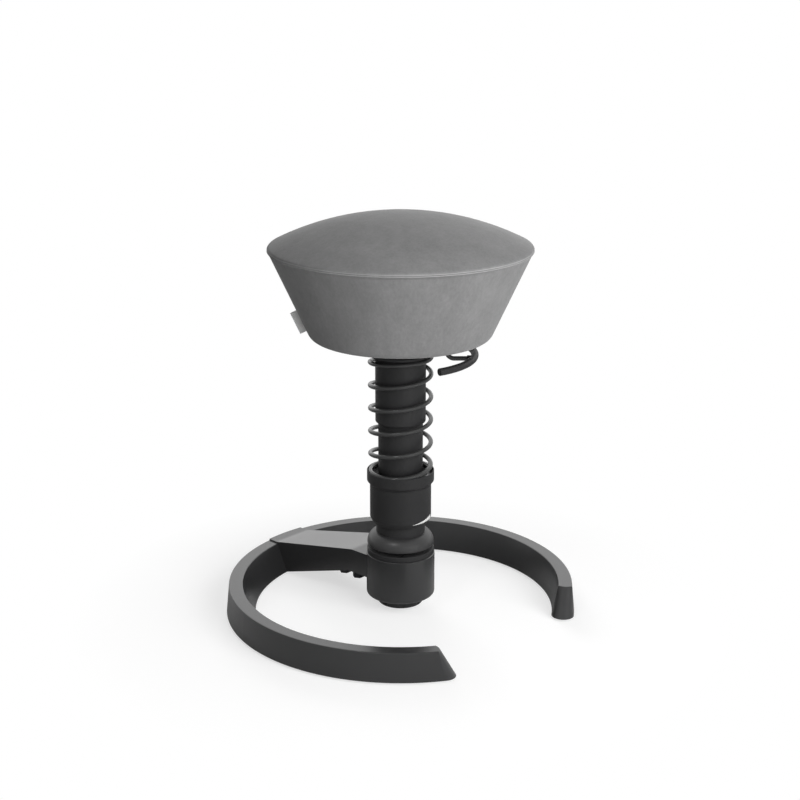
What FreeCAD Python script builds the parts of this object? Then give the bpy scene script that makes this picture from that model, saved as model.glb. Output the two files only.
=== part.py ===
import FreeCAD, Part
import math
import os

# Wobble stool: a C-shaped floor ring, one cast arm with a joint hub, a leaning and bouncing
# column with an open coil spring, and a hollow, cone-shaped upholstered seat.
# Millimetres, +Z up. The floor is z = 0 and the origin is the middle of the footprint box.
# The ring's gap faces -Y and the arm lies towards +Y. The column stands a little towards -Y.

Vec = FreeCAD.Vector

# Floor ring
RING_OUT_LOW = 278.2
RING_OUT_TOP = 273.6
RING_IN_TOP = 252.2
RING_IN_LOW = 237.0
RING_IN_SHIFT = 7.0
RING_Z0 = 3.9
RING_Z1 = 49.1
GAP_HALF_LOW = 33.4
GAP_HALF_TOP = 35.4
TIP_BULGE_LOW = 18.0
TIP_BULGE_TOP = 3.6
RING_WALL = 6.0
RING_EDGE_ROUND = 1.5
GLIDE_COUNT = 5
GLIDE_STEP = 71.75
GLIDE_R = 12.5
GLIDE_STEM_R = 4.0
POCKETS_PER_SPAN = 3

# Arm and hub casting
ARM_HUB_HALF = 45.2
ARM_END_HALF = 35.4
ARM_FLAT_U = 66.0
ARM_END_R = 273.3
ARM_SEAT_Z = 37.1
ARM_TOP_RING = 51.2
ARM_TOP_HUB = 92.5
ARM_LOW_HUB = 54.0
ARM_LOW_U = 72.5
ARM_FOOT_U = 226.0
ARM_WALL = 6.0
ARM_BOSS_END = 110.0
ARM_SCREW_U = 261.0
ARM_SCREW_V = (-18.0, 18.0)
ARM_SCREW_SEAT = 14.0
RIB_BOLT_SPOTS = ((-31.0, 64.0), (31.0, 64.0), (-31.0, 94.0), (31.0, 94.0))
RIB_BOLT_SEAT = 53.0
HUB_R = 54.3
HUB_TOP = 95.7
HUB_FLOOR = 24.5
BOWL_R = 39.0
BOWL_FLOOR = 29.6

# Joint in the hub
PIVOT_Z = 68.0
BALL_R = 24.0
STEM_R = 14.0
RACE_GAP = 0.3
RACE_HALF = 16.0
COLLAR_R = 53.0
COLLAR_TOP = 104.4
KNOB_R = 39.0
KNOB_LOBES = 8
KNOB_TURN = 2.0
KNOB_Z0 = 10.0
KNOB_Z1 = 24.0

# Column
FOOT_R = 38.7
FOOT_Z0 = 110.4
FOOT_Z1 = 147.6
CUFF_R = 52.8
CUFF_TOP = 131.0
TUBE_R = 34.9
TUBE_BORE = 31.9
TUBE_Z0 = 124.2
TUBE_Z1 = 340.0
CUP_R = 48.3
CUP_Z0 = 148.0
CUP_LIP_R = 52.7
CUP_TOP = 233.2
CUP_LEDGE = 225.7
CUP_MOUTH_R = 51.3

# Coil spring
WIRE = 7.0
COIL_R = 47.2
COIL_PITCH = 36.87
COIL_Z0 = 231.6
COIL_Z1 = 415.5
COIL_LEFT_Z = 407.48
COIL_LEFT_ANGLE = 133.0
COIL_EASE_LOW = 2.0
COIL_EASE_TOP = 8.0
COIL_CLOSED_LOW = 240.0
COIL_CLOSED_TOP = 190.0

# Bouncing sleeve and gas spring
SLEEVE_R = 39.2
SLEEVE_BORE = 35.3
SLEEVE_Z0 = 312.6
SPIGOT_Z0 = 408.0
FLANGE_R = 47.5
FLANGE_Z0 = 419.1
FLANGE_STEP_Z = 423.4
FLANGE_TOP = 425.0
STAND_R = 25.0
STAND_BORE = 23.0
STAND_Z0 = 196.0
STAND_Z1 = 424.0
STAND_FLOOR_Z0 = 203.0
STAND_FLOOR_Z1 = 207.0
BEARING_Z1 = 213.0
BUSH_Z0 = 362.0
CYLINDER_R = 14.0
CYLINDER_BORE = 12.0
CYLINDER_Z0 = 350.0
CYLINDER_Z1 = 574.0
CYLINDER_FLOOR = 358.5
CYLINDER_ROOF = 560.5
ROD_R = 5.0
PISTON_Z0 = 359.0
PISTON_Z1 = 369.0

# Seat
SEAT_LOW_R = 137.8
SEAT_LOW_Z = 448.0
SEAT_LOW_ROUND = 15.0
SEAM_R = 200.3
SEAM_Z = 585.3
RIM_R = 199.6
RIM_Z = 588.2
DOME_EDGE_R = 197.6
DOME_EDGE_Z = 590.0
DOME_TOP = 637.0
SHELL_LOW_R = 126.0
SHELL_LOW_Z = 452.0
SHELL_TOP_R = 171.0
SHELL_WALL = 6.0
SHELL_LIP_R = 158.0
DECK_Z0 = 590.0
DECK_Z1 = 596.0
PAN_R = 60.0
PAN_Z0 = 571.0
PAN_WALL = 3.0
SOCKET_R = 22.0
SOCKET_Z0 = 553.0
TAG_ANGLE = 141.0
TAG_Z = 480.0
TAG_LENGTH = 36.0
TAG_REACH = 10.0

# Height lever
LEVER_ANGLE = -68.8
LEVER_PIVOT_U = 45.0
LEVER_Z = 581.0
LEVER_ROD_R = 3.5
LEVER_DROP_U = 75.0
LEVER_BEND = 12.0
STEM_ANGLE = -47.0
GRIP_R = 5.7
GRIP_CENTRE = Vec(-6.3, 4.5, 420.5)
GRIP_ARC_R = 121.4
GRIP_FROM = -105.0
GRIP_TO = -13.0

MID_R = (RING_OUT_LOW + RING_IN_LOW) / 2
TIP_REACH = MID_R * math.cos(math.radians(GAP_HALF_LOW)) + TIP_BULGE_LOW + RING_IN_SHIFT / 2
COLUMN_Y = (TIP_REACH - RING_OUT_LOW) / 2


def polar(radius, degrees, z=0.0):
    angle = math.radians(degrees)
    return Vec(radius * math.cos(angle), radius * math.sin(angle), z)


def rounded_edges(corners, place):
    """Edges of a closed outline of (a, b) or (a, b, round) corners; place maps a and b to space."""
    flat = [Vec(c[0], c[1], 0) for c in corners]
    rounds = [c[2] if len(c) > 2 else 0.0 for c in corners]
    count = len(flat)
    starts, ends, mids = [], [], []
    for i, corner in enumerate(flat):
        before = (flat[i - 1] - corner).normalize()
        after = (flat[(i + 1) % count] - corner).normalize()
        if rounds[i] == 0:
            starts.append(corner)
            ends.append(corner)
            mids.append(None)
            continue
        half = before.getAngle(after) / 2
        reach = rounds[i] / math.tan(half)
        centre = corner + (before + after).normalize() * (rounds[i] / math.sin(half))
        starts.append(corner + before * reach)
        ends.append(corner + after * reach)
        mids.append(centre + (corner - centre).normalize() * rounds[i])
    edges = []
    for i in range(count):
        if mids[i] is not None:
            edges.append(Part.Arc(place(starts[i]), place(mids[i]), place(ends[i])).toShape())
        following = starts[(i + 1) % count]
        if (following - ends[i]).Length > 1e-6:
            edges.append(Part.makeLine(place(ends[i]), place(following)))
    return edges


def turned(corners, degrees=360.0, start=0.0):
    """A solid of revolution about the column axis from an outline of (radius, z, round) corners."""
    turn = math.radians(start)

    def place(p):
        return Vec(p.x * math.cos(turn), p.x * math.sin(turn), p.y)

    face = Part.Face(Part.Wire(rounded_edges(corners, place)))
    return face.revolve(Vec(0, 0, 0), Vec(0, 0, 1), degrees)


def turned_path(edges):
    """A solid of revolution from edges already drawn in the XZ plane."""
    return Part.Face(Part.Wire(edges)).revolve(Vec(0, 0, 0), Vec(0, 0, 1), 360)


def at(r, z):
    return Vec(r, 0, z)


def line(a, b):
    return Part.makeLine(a, b)


def arc(a, b, c):
    return Part.Arc(a, b, c).toShape()


def rod(radius, z0, z1, centre=Vec(0, 0, 0)):
    return Part.makeCylinder(radius, z1 - z0, Vec(centre.x, centre.y, z0))


def hexagon(across, z0, z1, centre=Vec(0, 0, 0)):
    corner_r = across / math.sqrt(3)
    points = [polar(corner_r, 60 * k, z0) + centre for k in range(7)]
    return Part.Face(Part.makePolygon(points)).extrude(Vec(0, 0, z1 - z0))


def screw(head_r, head_h, shank_r, length, z_seat, centre, up=True):
    """A socket screw whose head rests at z_seat, with the shank going up or down from it."""
    sign = 1 if up else -1
    head_z = z_seat - head_h if up else z_seat
    head = rod(head_r, head_z, head_z + head_h, centre)
    low, high = sorted((z_seat, z_seat + sign * length))
    shank = rod(shank_r, low, high, centre)
    socket_z = head_z if up else head_z + head_h * 0.4
    socket = hexagon(head_r * 0.95, socket_z, socket_z + head_h * 0.6, centre)
    return head.fuse(shank).cut(socket).removeSplitter()


def split_arc(a, b, c):
    """Two arcs that run from a through b to c on one circle."""
    circle = Part.Circle(a, b, c)
    edges = []
    for first, last in ((a, b), (b, c)):
        chord_mid = (first + last) * 0.5
        outward = (chord_mid - circle.Center).normalize()
        edges.append(arc(first, circle.Center + outward * circle.Radius, last))
    return edges


def c_outline(r_in, r_out, z, gap_half, bulge, shift):
    """The C-shaped plan of the floor ring at one height, its inner edge set off towards the gap."""
    inner_off = Vec(0, -shift, 0)
    first = -90 + gap_half
    span = 360 - 2 * gap_half
    mid = (r_in + r_out) / 2
    reach = math.degrees(bulge / mid)
    edges = []
    parts = 4
    for k in range(parts):
        a0 = first + span * k / parts
        a1 = first + span * (k + 1) / parts
        edges.append(arc(polar(r_out, a0, z), polar(r_out, (a0 + a1) / 2, z), polar(r_out, a1, z)))
    last = first + span
    in_first = polar(r_in, first, z) + inner_off
    in_last = polar(r_in, last, z) + inner_off
    edges += split_arc(polar(r_out, last, z), polar(mid, last + reach, z) + inner_off * 0.5, in_last)
    for k in range(parts):
        a0 = last - span * k / parts
        a1 = last - span * (k + 1) / parts
        spots = [polar(r_in, a, z) + inner_off for a in (a0, (a0 + a1) / 2, a1)]
        edges.append(arc(*spots))
    edges += split_arc(in_first, polar(mid, first - reach, z) + inner_off * 0.5, polar(r_out, first, z))
    return Part.Wire(edges)


def glide_angles():
    half = (GLIDE_COUNT - 1) / 2
    return [90 + GLIDE_STEP * (k - half) for k in range(GLIDE_COUNT)]


def ring_section(wall, z0, z1):
    """The ring's sloping section where it is narrowest, drawn in by a wall."""
    height = RING_Z1 - RING_Z0
    narrow = RING_IN_LOW + RING_IN_SHIFT

    def inner(z):
        return narrow + (RING_IN_TOP - narrow) * (z - RING_Z0) / height + wall

    def outer(z):
        return RING_OUT_LOW + (RING_OUT_TOP - RING_OUT_LOW) * (z - RING_Z0) / height - wall

    return [(inner(z0), z0), (outer(z0), z0), (outer(z1), z1), (inner(z1), z1)]


def ring_block():
    low = c_outline(RING_IN_LOW, RING_OUT_LOW, RING_Z0, GAP_HALF_LOW, TIP_BULGE_LOW, RING_IN_SHIFT)
    top = c_outline(RING_IN_TOP, RING_OUT_TOP, RING_Z1, GAP_HALF_TOP, TIP_BULGE_TOP, 0)
    block = Part.makeLoft([low, top], True, True)
    edges = [e for e in block.Edges if min(v.Z for v in e.Vertexes) > RING_Z1 - 0.01]
    return block.makeFillet(RING_EDGE_ROUND, edges)


def arm_rebate():
    """The flat seat that is sunk into the ring's top for the arm's end plate."""
    return arm_plan(-0.1, ARM_SEAT_Z, ARM_SEAT_Z + 40)


def base_ring():
    """The cast ring: pockets under it, solid bosses at the glides and at the arm's seat."""
    ring = ring_block().cut(arm_rebate())
    angles = glide_angles()
    tools = []
    boss_half = 4.6
    seat_half = 10.5
    rib = 1.3
    for a, b in zip(angles[:-1], angles[1:]):
        low = a + (seat_half if abs(a - 90) < 1 else boss_half)
        high = b - (seat_half if abs(b - 90) < 1 else boss_half)
        step = (high - low) / POCKETS_PER_SPAN
        for k in range(POCKETS_PER_SPAN):
            section = ring_section(RING_WALL, RING_Z0 - 1, RING_Z1 - RING_WALL)
            tools.append(turned(section, step - rib, low + k * step + rib / 2))
    for angle in angles:
        tools.append(rod(GLIDE_STEM_R + 0.05, 0, 16, polar(MID_R, angle)))
    for v in ARM_SCREW_V:
        spot = Vec(v, ARM_SCREW_U, 0)
        tools.append(rod(4.5, 0, 60, spot))
        tools.append(rod(7.2, 0, ARM_SCREW_SEAT, spot))
    return ring.cut(tools)


def glides():
    pads = []
    for angle in glide_angles():
        pad = turned([(0, 0), (GLIDE_R, 0, 1.2), (GLIDE_R, RING_Z0 - 0.05), (GLIDE_STEM_R, RING_Z0 - 0.05),
                      (GLIDE_STEM_R, 15), (0, 15)])
        pad.translate(polar(MID_R, angle))
        pads.append(pad)
    return Part.makeCompound(pads)


def arm_screws():
    return Part.makeCompound([
        screw(6.5, 8.0, 4.0, 30.0, ARM_SCREW_SEAT, Vec(v, ARM_SCREW_U, 0)) for v in ARM_SCREW_V
    ])


def arm_plan(inset, z0, z1):
    """The arm's tapering plan, drawn in by a wall, as an upright prism along +Y."""
    root, end = ARM_HUB_HALF - inset, ARM_END_HALF - inset
    corners = [(-root, 20), (root, 20), (root, ARM_FLAT_U, 300), (end, 285), (-end, 285),
               (-root, ARM_FLAT_U, 300)]
    edges = rounded_edges(corners, lambda p: Vec(p.x, p.y, z0))
    return Part.Face(Part.Wire(edges)).extrude(Vec(0, 0, z1 - z0))


def arm_side(outline):
    """A slab across the arm from an outline of (distance from the column, z) corners."""
    width = 70.0
    edges = rounded_edges(outline, lambda p: Vec(-width, p.x, p.y))
    return Part.Face(Part.Wire(edges)).extrude(Vec(2 * width, 0, 0))


def arm_beam():
    """The beam: level by the hub, then sloping, open underneath, with a foot that sits on the ring."""
    slope = (ARM_TOP_HUB - ARM_TOP_RING) / (RING_IN_TOP - ARM_FLAT_U)
    foot_z = RING_Z0 + 0.6
    body = arm_side([
        (20, ARM_TOP_HUB), (20, ARM_LOW_HUB), (ARM_LOW_U, ARM_LOW_HUB, 30), (ARM_FOOT_U, foot_z),
        (285, foot_z), (285, ARM_TOP_RING), (RING_IN_TOP, ARM_TOP_RING, 30),
        (ARM_FLAT_U, ARM_TOP_HUB, 40),
    ]).common(arm_plan(0, 0, 120))
    roof = ARM_TOP_HUB - ARM_WALL + slope * ARM_FLAT_U
    hollow_end = ARM_FOOT_U - 4
    hollow = arm_side([
        (ARM_BOSS_END, roof - slope * ARM_BOSS_END), (ARM_BOSS_END, 0), (hollow_end, 0),
        (hollow_end, roof - slope * hollow_end),
    ]).common(arm_plan(ARM_WALL, 0, 120))
    for u in (145.0, 182.0):
        hollow = hollow.cut(Part.makeBox(2 * ARM_HUB_HALF, 5, 120, Vec(-ARM_HUB_HALF, u, 0)))
    return body.cut(hollow)


def hub_arm():
    """One casting: the hub bowl and the arm, with the arm's end let into the ring."""
    beam = arm_beam().cut(ring_block().cut(arm_rebate()))
    beam = beam.common(rod(ARM_END_R, 0, 120))
    hub = turned([(0, HUB_FLOOR), (HUB_R, HUB_FLOOR, 5.5), (HUB_R, HUB_TOP, 1.0), (0, HUB_TOP)])
    body = hub.fuse(beam).cut([rod(BOWL_R, BOWL_FLOOR, HUB_TOP + 1), rod(6.1, 0, HUB_TOP)])
    holes = [rod(4.05, ARM_SCREW_SEAT, 46, Vec(v, ARM_SCREW_U, 0)) for v in ARM_SCREW_V]
    holes += [rod(2.55, HUB_TOP - 14, HUB_TOP + 1, polar(46, 45 + 90 * k)) for k in range(4)]
    for v, u in RIB_BOLT_SPOTS:
        holes.append(rod(5.05, 0, RIB_BOLT_SEAT + 27, Vec(v, u, 0)))
        holes.append(rod(10.2, 0, RIB_BOLT_SEAT, Vec(v, u, 0)))
    return body.cut(holes).removeSplitter()


def rib_bolts():
    """Four hex bolts with washers under the thick end of the arm, next to the hub."""
    bolts = []
    seat = RIB_BOLT_SEAT
    for v, u in RIB_BOLT_SPOTS:
        spot = Vec(v, u, 0)
        bolt = hexagon(16, seat - 11, seat - 2, spot).fuse(rod(9.8, seat - 2, seat, spot))
        bolts.append(bolt.fuse(rod(5, seat, seat + 24, spot)).removeSplitter())
    return Part.makeCompound(bolts)


def race_retainer():
    """The black ring on the hub that holds the rubber race down."""
    inner = BOWL_R
    skirt_z = 80.0
    skirt_r = math.sqrt(inner ** 2 - (skirt_z - PIVOT_Z) ** 2)
    crown_z = 94.0
    crown_r = math.sqrt(inner ** 2 - (crown_z - PIVOT_Z) ** 2)
    mid_z = 88.0
    mid_r = math.sqrt(inner ** 2 - (mid_z - PIVOT_Z) ** 2)
    outer = BOWL_R - 0.1
    ring = turned_path([
        arc(at(skirt_r, skirt_z), at(mid_r, mid_z), at(crown_r, crown_z)),
        line(at(crown_r, crown_z), at(24, COLLAR_TOP - 3)),
        line(at(24, COLLAR_TOP - 3), at(27, COLLAR_TOP)),
        line(at(27, COLLAR_TOP), at(COLLAR_R - 1.5, COLLAR_TOP)),
        arc(at(COLLAR_R - 1.5, COLLAR_TOP), at(COLLAR_R - 0.44, COLLAR_TOP - 0.44),
            at(COLLAR_R, COLLAR_TOP - 1.5)),
        line(at(COLLAR_R, COLLAR_TOP - 1.5), at(COLLAR_R, HUB_TOP + 0.8)),
        line(at(COLLAR_R, HUB_TOP + 0.8), at(COLLAR_R - 0.8, HUB_TOP)),
        line(at(COLLAR_R - 0.8, HUB_TOP), at(outer, HUB_TOP)),
        line(at(outer, HUB_TOP), at(outer, skirt_z)),
        line(at(outer, skirt_z), at(skirt_r, skirt_z)),
    ])
    holes = []
    for k in range(4):
        spot = polar(46, 45 + 90 * k)
        holes.append(rod(2.7, HUB_TOP - 1, COLLAR_TOP + 1, spot))
        holes.append(rod(4.6, COLLAR_TOP - 4.6, COLLAR_TOP + 1, spot))
    return ring.cut(holes)


def retainer_screws():
    return Part.makeCompound([
        screw(4.2, 4.0, 2.5, 15.0, COLLAR_TOP - 4.6, polar(46, 45 + 90 * k), up=False) for k in range(4)
    ])


def rubber_race():
    """The rubber ring between ball and hub, with round inner and outer faces about the pivot."""
    outer = BOWL_R - RACE_GAP
    inner = BALL_R + RACE_GAP
    out_r = math.sqrt(outer ** 2 - RACE_HALF ** 2)
    in_r = math.sqrt(inner ** 2 - RACE_HALF ** 2)
    low = PIVOT_Z - RACE_HALF
    high = PIVOT_Z + RACE_HALF
    return turned_path([
        line(at(in_r, low), at(out_r, low)),
        arc(at(out_r, low), at(outer, PIVOT_Z), at(out_r, high)),
        line(at(out_r, high), at(in_r, high)),
        arc(at(in_r, high), at(inner, PIVOT_Z), at(in_r, low)),
    ])


def pressure_cup():
    """The dished plate under the race, pressed up by the knob's spindle."""
    rim_z = 55.0
    rim_r = math.sqrt(BOWL_R ** 2 - (PIVOT_Z - rim_z) ** 2)
    floor_r = 22.0
    floor_z = PIVOT_Z - math.sqrt(BOWL_R ** 2 - floor_r ** 2)
    mid_r = 30.5
    mid_z = PIVOT_Z - math.sqrt(BOWL_R ** 2 - mid_r ** 2)
    return turned_path([
        line(at(0, BOWL_FLOOR + 0.9), at(BOWL_R - 0.2, BOWL_FLOOR + 0.9)),
        line(at(BOWL_R - 0.2, BOWL_FLOOR + 0.9), at(BOWL_R - 0.2, rim_z)),
        line(at(BOWL_R - 0.2, rim_z), at(rim_r, rim_z)),
        arc(at(rim_r, rim_z), at(mid_r, mid_z), at(floor_r, floor_z)),
        line(at(floor_r, floor_z), at(0, floor_z)),
        line(at(0, floor_z), at(0, BOWL_FLOOR + 0.9)),
    ])


def flex_knob():
    """The lobed hand knob under the hub that sets how freely the column leans."""
    knob = turned([
        (0, KNOB_Z0), (KNOB_R - 4, KNOB_Z0, 3), (KNOB_R, KNOB_Z1 - 4, 2), (KNOB_R, KNOB_Z1, 1),
        (0, KNOB_Z1),
    ])
    flutes = []
    for k in range(KNOB_LOBES):
        flutes.append(rod(9.0, 0, KNOB_Z1 + 1, polar(KNOB_R + 5.2, KNOB_TURN + 360 * k / KNOB_LOBES)))
    dish = turned([(0, KNOB_Z0 - 1), (22, KNOB_Z0 - 1), (20, KNOB_Z0 + 4, 2), (0, KNOB_Z0 + 4)])
    return knob.cut(flutes).cut(dish).cut(rod(5.0, 0, KNOB_Z1 + 1))


def flex_spindle():
    """The knob's threaded stem, which passes through the hub floor to the pressure cup."""
    stem = rod(6.0, KNOB_Z1 + 0.05, BOWL_FLOOR + 0.6).fuse(rod(4.95, KNOB_Z0 + 4, KNOB_Z1 + 0.05))
    nut = hexagon(16, KNOB_Z0 - 2, KNOB_Z0 + 4)
    return stem.fuse(nut).removeSplitter()


def joint_ball():
    """The ball stud at the foot of the column."""
    neck_z = PIVOT_Z + math.sqrt(BALL_R ** 2 - STEM_R ** 2)
    return turned_path([
        line(at(0, PIVOT_Z - BALL_R), at(0, 133)),
        line(at(0, 133), at(9, 133)),
        line(at(9, 133), at(10, 132)),
        line(at(10, 132), at(10, FOOT_Z0)),
        line(at(10, FOOT_Z0), at(STEM_R, FOOT_Z0)),
        line(at(STEM_R, FOOT_Z0), at(STEM_R, neck_z)),
        arc(at(STEM_R, neck_z), at(BALL_R, PIVOT_Z), at(0, PIVOT_Z - BALL_R)),
    ])


def column_foot():
    """The housing above the joint that carries the guide tube."""
    return turned([
        (10.1, FOOT_Z0), (FOOT_R, FOOT_Z0), (FOOT_R, FOOT_Z1, 0.8), (TUBE_R + 0.05, FOOT_Z1),
        (TUBE_R + 0.05, TUBE_Z0 - 0.2), (10.1, TUBE_Z0 - 0.2),
    ])


def stud_nut():
    return hexagon(30, TUBE_Z0, 132).cut(rod(10.05, 120, 140))


def cuff():
    """The domed rubber cuff round the foot, above the groove."""
    inner = FOOT_R + 0.05
    low = FOOT_Z0 - 0.1
    return turned_path([
        line(at(inner, low), at(CUFF_R - 2, low)),
        arc(at(CUFF_R - 2, low), at(CUFF_R - 0.59, low + 0.59), at(CUFF_R, low + 2)),
        arc(at(CUFF_R, low + 2), at(CUFF_R - 2.6, low + 12.5), at(CUFF_R - 10.8, CUFF_TOP - 0.6)),
        line(at(CUFF_R - 10.8, CUFF_TOP - 0.6), at(inner, CUFF_TOP)),
        line(at(inner, CUFF_TOP), at(inner, low)),
    ])


def guide_tube():
    return turned([(TUBE_BORE, TUBE_Z0), (TUBE_R, TUBE_Z0), (TUBE_R, TUBE_Z1, 1), (TUBE_BORE, TUBE_Z1)])


def guide_bush():
    """The plastic bush in the guide tube's mouth."""
    bore = STAND_R + 0.08
    return turned([
        (bore, TUBE_Z1 - 22), (TUBE_BORE - 0.05, TUBE_Z1 - 22), (TUBE_BORE - 0.05, TUBE_Z1 + 0.05),
        (TUBE_R - 0.3, TUBE_Z1 + 0.05), (TUBE_R - 0.3, TUBE_Z1 + 2.5, 0.8), (bore, TUBE_Z1 + 2.5, 0.8),
    ])


def bump_stop():
    return turned([(18.5, TUBE_Z0), (31.5, TUBE_Z0), (31.5, 135.5, 2), (18.5, 135.5, 2)])


def adjuster_cup():
    """The turning cup that the spring sits in."""
    bore = TUBE_R + 0.3
    return turned([
        (bore, CUP_Z0), (CUP_R - 4.3, CUP_Z0, 1.2), (CUP_R, CUP_Z0 + 8.5, 3), (CUP_R - 0.1, 211.0, 2),
        (CUP_LIP_R, 216.5, 2.5), (CUP_LIP_R, CUP_TOP, 0.9), (CUP_MOUTH_R, CUP_TOP, 0.3),
        (CUP_MOUTH_R, CUP_LEDGE), (bore, CUP_LEDGE),
    ])


def spring_washer():
    """The steel washer between the spring and the cup, so that the cup turns freely."""
    low = CUP_LEDGE + 0.1
    high = COIL_Z0 - WIRE / 2 - 0.5
    return turned([(43, low), (CUP_MOUTH_R - 0.3, low), (CUP_MOUTH_R - 0.3, high), (43, high)])


def ramp(height, ease):
    """Zero below, the height itself above, and a smooth blend within the ease on both sides."""
    if abs(height) >= ease:
        return max(height, 0.0)
    return (height + ease) ** 2 / (4 * ease)


def coil_height(angle):
    """Height of the wire's centre, easing into a closed turn at each end."""
    height = COIL_LEFT_Z + COIL_PITCH * (angle - COIL_LEFT_ANGLE) / 360
    return COIL_Z0 + ramp(height - COIL_Z0, COIL_EASE_LOW) - ramp(height - COIL_Z1, COIL_EASE_TOP)


def biarc(p0, t0, p1, t1):
    """Two arcs from p0 to p1 that meet smoothly and leave along t0 and t1."""
    gap = p1 - p0
    both = t0 + t1
    turn = 2 * (1 - t0.dot(t1))
    reach = (math.sqrt(gap.dot(both) ** 2 + turn * gap.dot(gap)) - gap.dot(both)) / turn
    middle = (p0 + p1 + (t0 - t1) * reach) * 0.5
    return [tangent_arc(p0, t0, middle), tangent_arc(p1, t1 * -1, middle)]


def tangent_arc(start, tangent, end):
    chord = end - start
    along = Vec(chord.x, chord.y, chord.z).normalize()
    side = (tangent - along * tangent.dot(along)).normalize()
    rise = chord.Length / 2 * math.tan(tangent.getAngle(chord) / 2)
    return arc(start, (start + end) * 0.5 + side * rise, end)


def spaced(first, last):
    """Angles from first to last in equal steps of about a quarter turn."""
    count = max(1, round((last - first) / 90))
    return [first + (last - first) * k / count for k in range(count + 1)]


def coil_points():
    """Quarter-turn points on the wire's centre line and the directions there."""
    rise_from = COIL_LEFT_ANGLE - 360 * (COIL_LEFT_Z - COIL_Z0 + COIL_EASE_LOW) / COIL_PITCH
    rise_to = COIL_LEFT_ANGLE + 360 * (COIL_Z1 + COIL_EASE_TOP - COIL_LEFT_Z) / COIL_PITCH
    angles = spaced(rise_from - COIL_CLOSED_LOW, rise_from)[:-1] + spaced(rise_from, rise_to)
    angles += spaced(rise_to, rise_to + COIL_CLOSED_TOP)[1:]
    points = []
    for angle in angles:
        rise = (coil_height(angle + 0.5) - coil_height(angle - 0.5)) / math.radians(1)
        turn = math.radians(angle)
        direction = Vec(-math.sin(turn) * COIL_R, math.cos(turn) * COIL_R, rise).normalize()
        points.append((polar(COIL_R, angle, coil_height(angle)), direction))
    return points


def least_gap(edges):
    """The smallest clear distance between turns, measured on points along the wire."""
    spots = []
    for edge in edges:
        spots += edge.discretize(9)[:-1]
    length = sum(edge.Length for edge in edges)
    half_turn = int(math.pi * COIL_R * len(spots) / length)
    nearest = min(p.distanceToPoint(q) for i, p in enumerate(spots) for q in spots[i + half_turn:])
    return nearest - WIRE


def coil_spring():
    """The open coil spring as one unbroken wire with closed end turns."""
    points = coil_points()
    start, start_dir = points[0]
    end, end_dir = points[-1]
    edges = [line(start - start_dir * WIRE, start)]
    for (p0, t0), (p1, t1) in zip(points[:-1], points[1:]):
        first, second = biarc(p0, t0, p1, t1)
        edges += [first, second]
    edges.append(line(end, end + end_dir * WIRE))
    path = Part.Wire(Part.__sortEdges__(edges))
    print("coil spring: least gap between turns", round(least_gap(edges), 2), "mm")
    print("coil spring: wire length", round(sum(e.Length for e in edges)), "mm")
    profile = Part.Wire(Part.makeCircle(WIRE / 2, edges[0].Vertexes[0].Point, start_dir))
    shell = Part.BRepOffsetAPI.MakePipeShell(path)
    shell.add(profile)
    shell.build()
    shell.makeSolid()
    return Part.Solid(shell.shape())


def cover_sleeve():
    return turned([(SLEEVE_BORE, SLEEVE_Z0), (SLEEVE_R, SLEEVE_Z0, 2), (SLEEVE_R, FLANGE_Z0 - 0.05),
                   (SLEEVE_BORE, FLANGE_Z0 - 0.05)])


def spring_flange():
    """The two-step disc under the seat that the spring pushes up."""
    bore = STAND_R + 0.05
    return turned([
        (bore, SPIGOT_Z0), (SLEEVE_BORE - 0.1, SPIGOT_Z0, 1), (SLEEVE_BORE - 0.1, FLANGE_Z0),
        (FLANGE_R, FLANGE_Z0, 0.6), (FLANGE_R, FLANGE_STEP_Z, 1.2), (FLANGE_R - 5, FLANGE_STEP_Z),
        (FLANGE_R - 5, FLANGE_TOP, 0.8), (bore, FLANGE_TOP),
    ])


def stand_tube():
    """The inner tube that carries the gas spring, closed near its foot."""
    tube = turned([(STAND_BORE, STAND_Z0), (STAND_R, STAND_Z0), (STAND_R, STAND_Z1), (STAND_BORE, STAND_Z1)])
    bore = ROD_R + 0.08
    floor = turned([(bore, STAND_FLOOR_Z0), (STAND_BORE, STAND_FLOOR_Z0), (STAND_BORE, STAND_FLOOR_Z1),
                    (bore, STAND_FLOOR_Z1)])
    return tube.fuse(floor).removeSplitter()


def guide_ring():
    return turned([(STAND_R + 0.05, STAND_Z0), (TUBE_BORE - 0.08, STAND_Z0, 0.8),
                   (TUBE_BORE - 0.08, STAND_Z0 + 10, 0.8), (STAND_R + 0.05, STAND_Z0 + 10)])


def rebound_stop():
    return turned([(STAND_R + 0.05, STAND_Z0 + 10.1), (28.5, STAND_Z0 + 10.1), (28.5, TUBE_Z1 - 22.4),
                   (STAND_R + 0.05, TUBE_Z1 - 22.4)])


def cylinder_bush():
    bore = CYLINDER_R + 0.06
    outer = STAND_BORE - 0.05
    return turned([(bore, BUSH_Z0), (outer, BUSH_Z0), (outer, STAND_Z1 + 0.05), (STAND_R, STAND_Z1 + 0.05),
                   (STAND_R, STAND_Z1 + 3, 1), (bore, STAND_Z1 + 3, 1)])


def bearing_race():
    low = STAND_FLOOR_Z1 + 0.05
    return turned([(ROD_R + 0.1, low), (14, low), (14, low + 1.95), (ROD_R + 0.1, low + 1.95)])


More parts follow.
